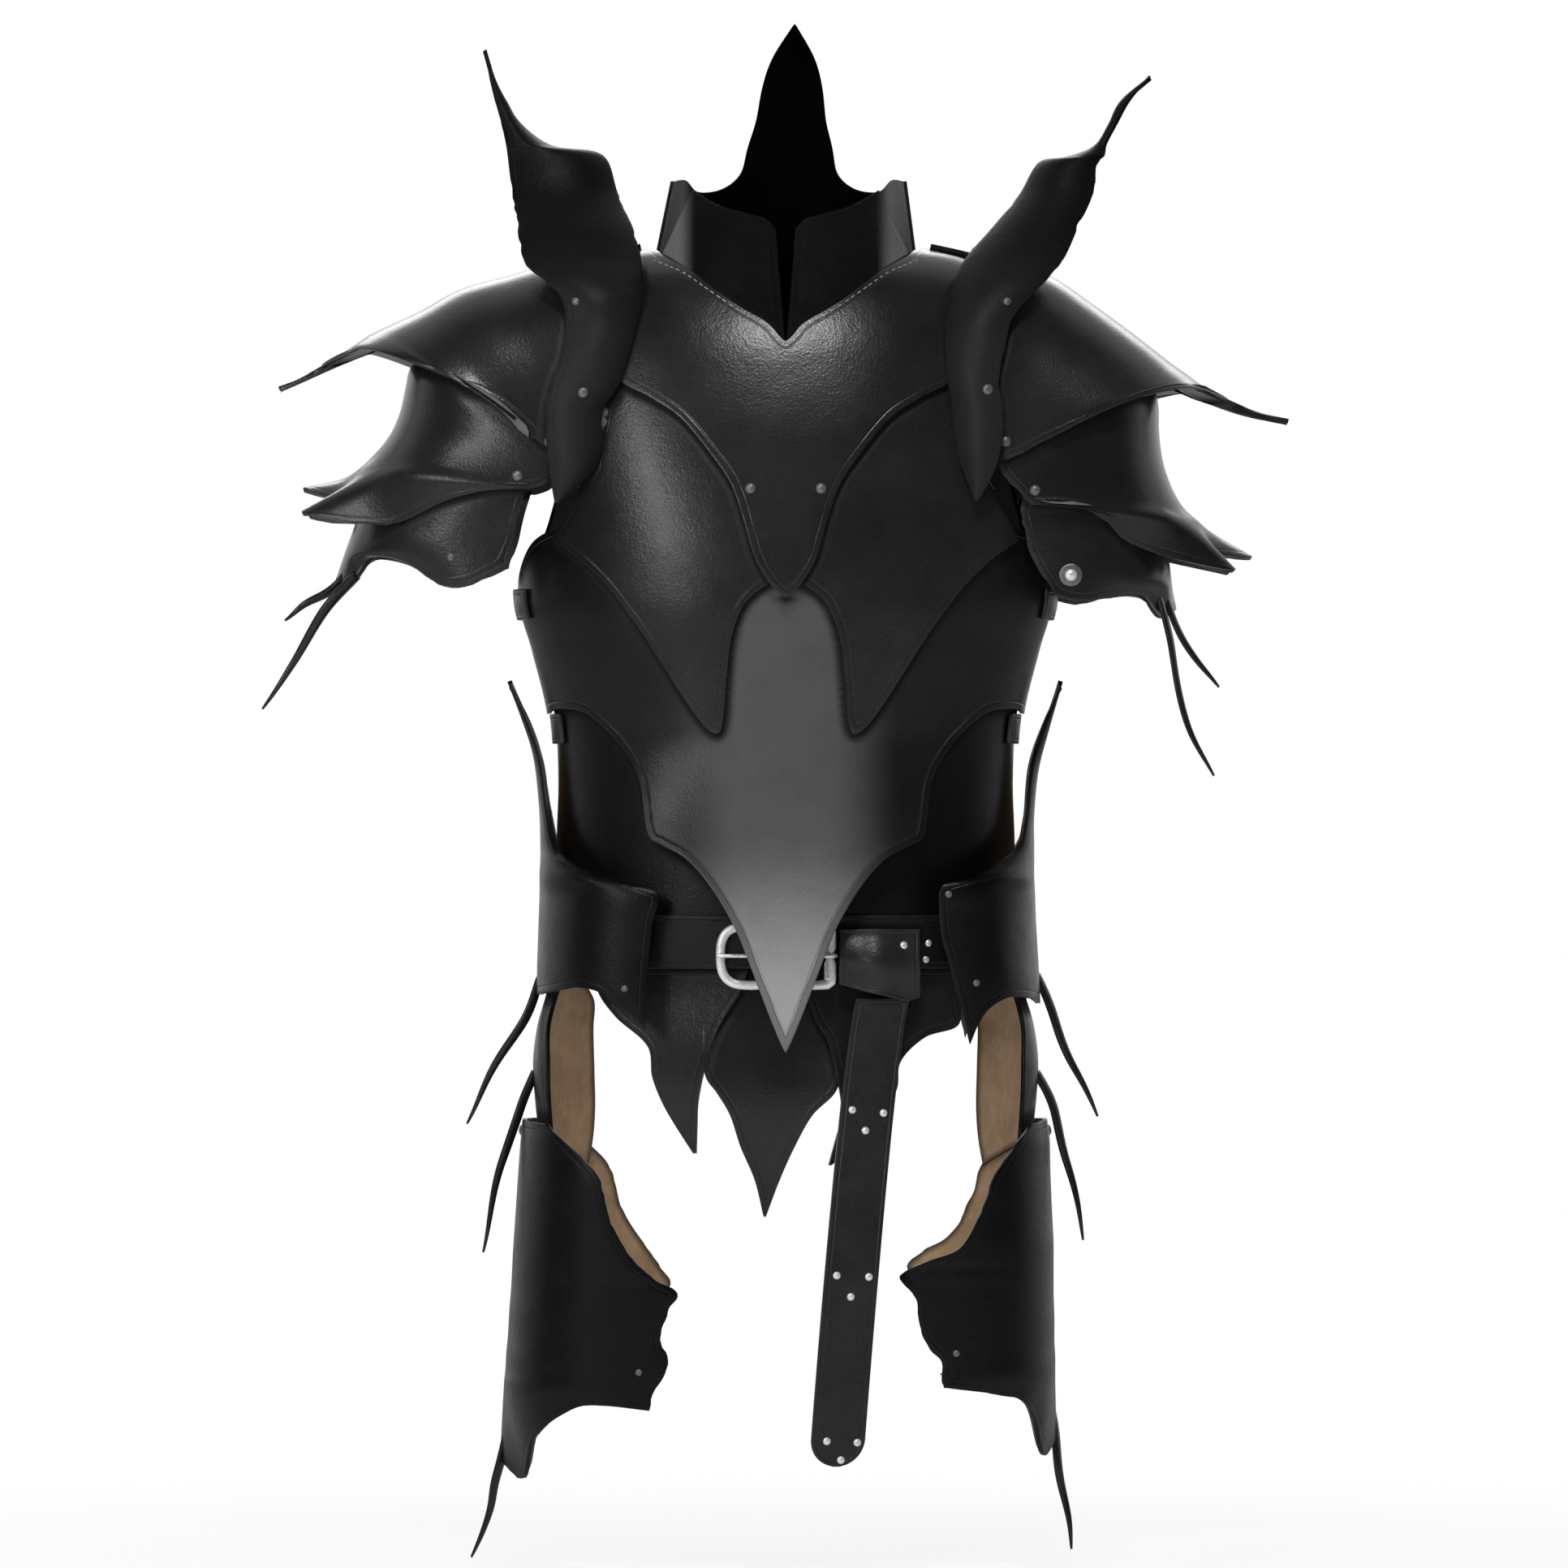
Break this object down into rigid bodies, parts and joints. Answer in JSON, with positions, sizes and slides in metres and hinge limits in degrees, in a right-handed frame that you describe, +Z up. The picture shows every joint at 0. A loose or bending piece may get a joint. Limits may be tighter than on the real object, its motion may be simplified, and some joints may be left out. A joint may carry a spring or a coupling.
{
  "type": "leather body armour",
  "caption": "Laminated leather cuirass with horned shoulder guards, open collar, buckled belt, hanging flaps and hinged thigh guards.",
  "frame": {"origin": "centre of the neck opening at the height of the shoulders, on the wearer's centre line", "axes": "+Z up, the armour's front faces -Y, +X points to the right of a front view"},
  "size_m": [0.7598, 0.2959, 1.132],
  "materials": {
    "armour_leather": "satin waxed black leather",
    "strap_leather": "matt black strap leather",
    "steel": "bright nickel-plated steel"
  },
  "bodies": {
    "cuirass": {"chest_plate": "armour_leather", "breast_plate": "armour_leather", "abdomen_plate": "armour_leather", "waist_plate": "armour_leather", "upper_back_plate": "armour_leather", "lower_back_plate": "armour_leather", "collar_left": "armour_leather", "collar_right": "armour_leather", "nape_guard": "armour_leather", "chest_rivet_left": "steel", "chest_rivet_right": "steel", "side_strap_left_upper": "strap_leather", "side_strap_left_lower": "strap_leather", "side_strap_right_upper": "strap_leather", "side_strap_right_lower": "strap_leather", "shoulder_strap_left": "strap_leather", "shoulder_strap_right": "strap_leather", "belt": "strap_leather", "belt_buckle": "steel", "belt_wrap": "strap_leather", "flap_hanger": "strap_leather", "hip_hanger_left": "strap_leather", "hip_hanger_right": "strap_leather"},
    "buckle_tongue": {"belt_tongue": "steel"},
    "strap_tail": {"belt_tail": "strap_leather"},
    "left_flap": {"hanging_flap_left": "armour_leather"},
    "centre_flap": {"hanging_flap_centre": "armour_leather"},
    "right_flap": {"hanging_flap_right": "armour_leather"},
    "shoulder_left": {"pauldron_upper_lame_left": "armour_leather", "shoulder_fin_left": "armour_leather", "fin_rivet_left": "steel", "upper_pivot_front_left": "steel", "upper_pivot_rear_left": "steel"},
    "middle_lame_left": {"pauldron_middle_lame_left": "armour_leather", "lower_pivot_front_left": "steel", "lower_pivot_rear_left": "steel"},
    "lower_lame_left": {"pauldron_lower_lame_left": "armour_leather", "arm_strap_left": "strap_leather"},
    "hip_guard_left": {"hip_plate_left": "armour_leather", "hip_pivot_left": "steel"},
    "upper_thigh_guard_left": {"thigh_lame_left": "armour_leather"},
    "lower_thigh_guard_left": {"thigh_plate_left": "armour_leather", "thigh_strap_left": "strap_leather", "thigh_pivot_left": "steel"},
    "shoulder_right": {"pauldron_upper_lame_right": "armour_leather", "shoulder_fin_right": "armour_leather", "fin_rivet_right": "steel", "upper_pivot_front_right": "steel", "upper_pivot_rear_right": "steel"},
    "middle_lame_right": {"pauldron_middle_lame_right": "armour_leather", "lower_pivot_front_right": "steel", "lower_pivot_rear_right": "steel"},
    "lower_lame_right": {"pauldron_lower_lame_right": "armour_leather", "arm_strap_right": "strap_leather"},
    "hip_guard_right": {"hip_plate_right": "armour_leather", "hip_pivot_right": "steel"},
    "upper_thigh_guard_right": {"thigh_lame_right": "armour_leather"},
    "lower_thigh_guard_right": {"thigh_plate_right": "armour_leather", "thigh_strap_right": "strap_leather", "thigh_pivot_right": "steel"}
  },
  "joints": [
    {"name": "shoulder_lift_left", "type": "hinge", "parent": "cuirass", "child": "shoulder_left", "pos_m": [-0.1366, 0, 0.004], "axis": [0, 1, 0], "range_deg": [0, 20]},
    {"name": "middle_lame_turn_left", "type": "hinge", "parent": "shoulder_left", "child": "middle_lame_left", "pos_m": [-0.1728, 0, -0.1374], "axis": [0, 1, 0], "range_deg": [-5, 12]},
    {"name": "lower_lame_turn_left", "type": "hinge", "parent": "middle_lame_left", "child": "lower_lame_left", "pos_m": [-0.1962, 0, -0.162], "axis": [0, 1, 0], "range_deg": [-5, 1]},
    {"name": "hip_guard_swing_left", "type": "hinge", "parent": "cuirass", "child": "hip_guard_left", "pos_m": [-0.1775, 0, -0.5031], "axis": [0, 1, 0], "range_deg": [-6, 4]},
    {"name": "upper_thigh_turn_left", "type": "hinge", "parent": "hip_guard_left", "child": "upper_thigh_guard_left", "pos_m": [-0.178, 0, -0.5352], "axis": [1, 0, 0], "range_deg": [-10, 10]},
    {"name": "lower_thigh_turn_left", "type": "hinge", "parent": "upper_thigh_guard_left", "child": "lower_thigh_guard_left", "pos_m": [-0.185, 0, -0.6432], "axis": [1, 0, 0], "range_deg": [-10, 10]},
    {"name": "shoulder_lift_right", "type": "hinge", "parent": "cuirass", "child": "shoulder_right", "pos_m": [0.1366, 0, 0.004], "axis": [0, -1, 0], "range_deg": [0, 20]},
    {"name": "middle_lame_turn_right", "type": "hinge", "parent": "shoulder_right", "child": "middle_lame_right", "pos_m": [0.1608, 0, -0.1374], "axis": [0, -1, 0], "range_deg": [-3.5, 12]},
    {"name": "lower_lame_turn_right", "type": "hinge", "parent": "middle_lame_right", "child": "lower_lame_right", "pos_m": [0.1824, 0, -0.1728], "axis": [0, -1, 0], "range_deg": [-3.5, 4]},
    {"name": "hip_guard_swing_right", "type": "hinge", "parent": "cuirass", "child": "hip_guard_right", "pos_m": [0.1816, 0, -0.5031], "axis": [0, -1, 0], "range_deg": [-6, 4]},
    {"name": "upper_thigh_turn_right", "type": "hinge", "parent": "hip_guard_right", "child": "upper_thigh_guard_right", "pos_m": [0.178, 0, -0.5352], "axis": [1, 0, 0], "range_deg": [-10, 10]},
    {"name": "lower_thigh_turn_right", "type": "hinge", "parent": "upper_thigh_guard_right", "child": "lower_thigh_guard_right", "pos_m": [0.185, 0, -0.6432], "axis": [1, 0, 0], "range_deg": [-10, 10]},
    {"name": "tongue_turn", "type": "hinge", "parent": "cuirass", "child": "buckle_tongue", "pos_m": [0.0324, -0.1167, -0.513], "axis": [0, 0, 1], "range_deg": [0, 20]},
    {"name": "tail_swing", "type": "hinge", "parent": "cuirass", "child": "strap_tail", "pos_m": [0.0714, -0.1111, -0.5444], "axis": [-0.9763, -0.2163, 0], "range_deg": [0, 45]},
    {"name": "left_flap_swing", "type": "hinge", "parent": "cuirass", "child": "left_flap", "pos_m": [-0.0647, -0.0982, -0.5234], "axis": [-0.9778, 0.2095, 0], "range_deg": [0, 15]},
    {"name": "centre_flap_swing", "type": "hinge", "parent": "cuirass", "child": "centre_flap", "pos_m": [-0.0075, -0.0959, -0.5234], "axis": [-0.9998, 0.0215, 0], "range_deg": [-12, 0]},
    {"name": "right_flap_swing", "type": "hinge", "parent": "cuirass", "child": "right_flap", "pos_m": [0.06, -0.0981, -0.5234], "axis": [-0.9811, -0.1933, 0], "range_deg": [0, 5]}
  ]
}
